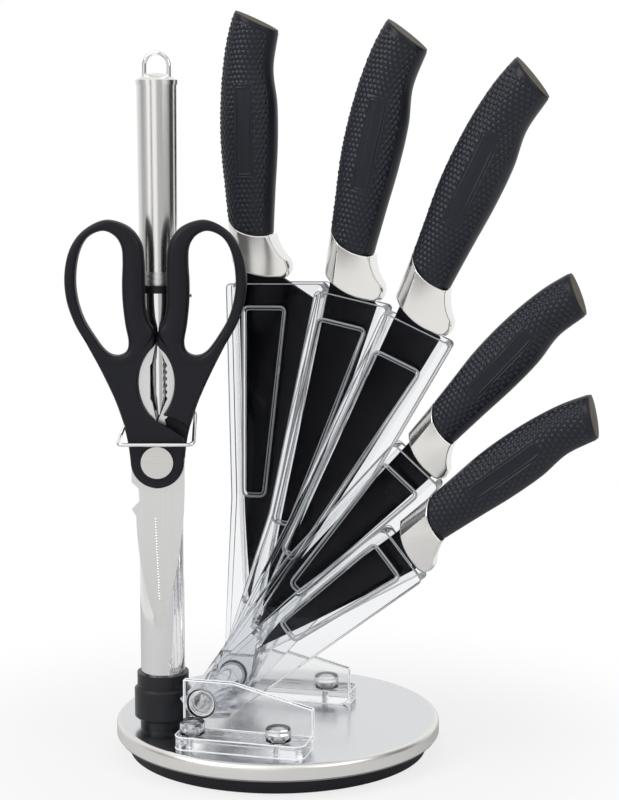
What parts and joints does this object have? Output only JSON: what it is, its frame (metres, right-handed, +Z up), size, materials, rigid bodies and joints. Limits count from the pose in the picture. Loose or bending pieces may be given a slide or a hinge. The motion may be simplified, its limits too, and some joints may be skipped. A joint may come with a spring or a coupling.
{
  "type": "knife block with knives",
  "caption": "Turning knife stand: clear sleeves fanned on a round steel base hold black-handled kitchen knives, with a post for a sharpening steel and scissors.",
  "frame": {"origin": "centre of the face the stand rests on, under the middle of the round base", "axes": "+Z up, -Y is the front of the stand, the sleeves fan out towards +X"},
  "size_m": [0.2489, 0.161, 0.3634],
  "materials": {
    "black_plastic": "moulded black plastic",
    "pad_rubber": "non-slip rubber",
    "white_plastic": "slippery bearing plastic",
    "grey_plastic": "moulded grey plastic",
    "plain_steel": "plain ground stainless steel",
    "spun_steel": "satin spun stainless steel",
    "satin_steel": "satin stainless steel",
    "polished_tube": "polished",
    "clear_acrylic": "clear moulded acrylic",
    "coated_blade": "black non-stick coating on steel",
    "grip_black": "soft black, fine raised dots",
    "butt_tan": "satin light tan"
  },
  "bodies": {
    "foot": {"base_foot": "black_plastic", "foot_pads": "pad_rubber", "glide_ring": "white_plastic", "spindle_screw": "plain_steel"},
    "turntable": {"base_carrier": "grey_plastic", "base_cover": "spun_steel", "front_bracket": "clear_acrylic", "rear_bracket": "clear_acrylic", "bracket_screws": "plain_steel", "screw_caps": "clear_acrylic", "pivot_pin": "clear_acrylic", "sleeve_1": "clear_acrylic", "sleeve_2": "clear_acrylic", "sleeve_3": "clear_acrylic", "sleeve_4": "clear_acrylic", "sleeve_5": "clear_acrylic", "post_socket": "black_plastic", "post_tube": "polished_tube", "tube_liner": "black_plastic", "scissors_wire": "polished_tube"},
    "knife_1": {"blade_1": "coated_blade", "bolster_1": "satin_steel", "handle_1": "grip_black", "butt_cap_1": "butt_tan"},
    "knife_2": {"blade_2": "coated_blade", "bolster_2": "satin_steel", "handle_2": "grip_black", "butt_cap_2": "butt_tan"},
    "knife_3": {"blade_3": "coated_blade", "bolster_3": "satin_steel", "handle_3": "grip_black", "butt_cap_3": "butt_tan"},
    "knife_4": {"blade_4": "coated_blade", "bolster_4": "satin_steel", "handle_4": "grip_black", "butt_cap_4": "butt_tan"},
    "knife_5": {"blade_5": "coated_blade", "bolster_5": "satin_steel", "handle_5": "grip_black", "butt_cap_5": "butt_tan"},
    "sharpening_steel": {"steel_rod": "plain_steel", "steel_ferrule": "plain_steel", "steel_handle": "satin_steel", "steel_cap": "satin_steel", "hanging_loop": "plain_steel"},
    "scissors_rear": {"scissors_rear_blade": "plain_steel", "scissors_rear_handle": "grip_black", "scissors_rivet": "satin_steel"},
    "scissors_front": {"scissors_front_blade": "plain_steel", "scissors_front_handle": "grip_black"}
  },
  "joints": [
    {"name": "base_turn", "type": "hinge", "parent": "foot", "child": "turntable", "pos_m": [0, 0, 0.008], "axis": [0, 0, 1], "continuous": true},
    {"name": "knife_1_draw", "type": "slide", "parent": "turntable", "child": "knife_1", "axis": [-0.0209, 0, 0.9998], "range_m": [0, 0.185]},
    {"name": "knife_2_draw", "type": "slide", "parent": "turntable", "child": "knife_2", "axis": [0.2062, 0, 0.9785], "range_m": [0, 0.193]},
    {"name": "knife_3_draw", "type": "slide", "parent": "turntable", "child": "knife_3", "axis": [0.4115, 0, 0.9114], "range_m": [0, 0.189]},
    {"name": "knife_4_draw", "type": "slide", "parent": "turntable", "child": "knife_4", "axis": [0.6652, 0, 0.7466], "range_m": [0, 0.141]},
    {"name": "knife_5_draw", "type": "slide", "parent": "turntable", "child": "knife_5", "axis": [0.7848, 0, 0.6198], "range_m": [0, 0.111]},
    {"name": "steel_draw", "type": "slide", "parent": "turntable", "child": "sharpening_steel", "axis": [0, 0, 1], "range_m": [0, 0.2]},
    {"name": "scissors_lift", "type": "slide", "parent": "turntable", "child": "scissors_rear", "axis": [0, 0, 1], "range_m": [0, 0.12]},
    {"name": "scissors_open", "type": "hinge", "parent": "scissors_rear", "child": "scissors_front", "pos_m": [-0.04484, -0.04939, 0.1516], "axis": [0.2588, -0.9659, 0], "range_deg": [0, 10]}
  ]
}
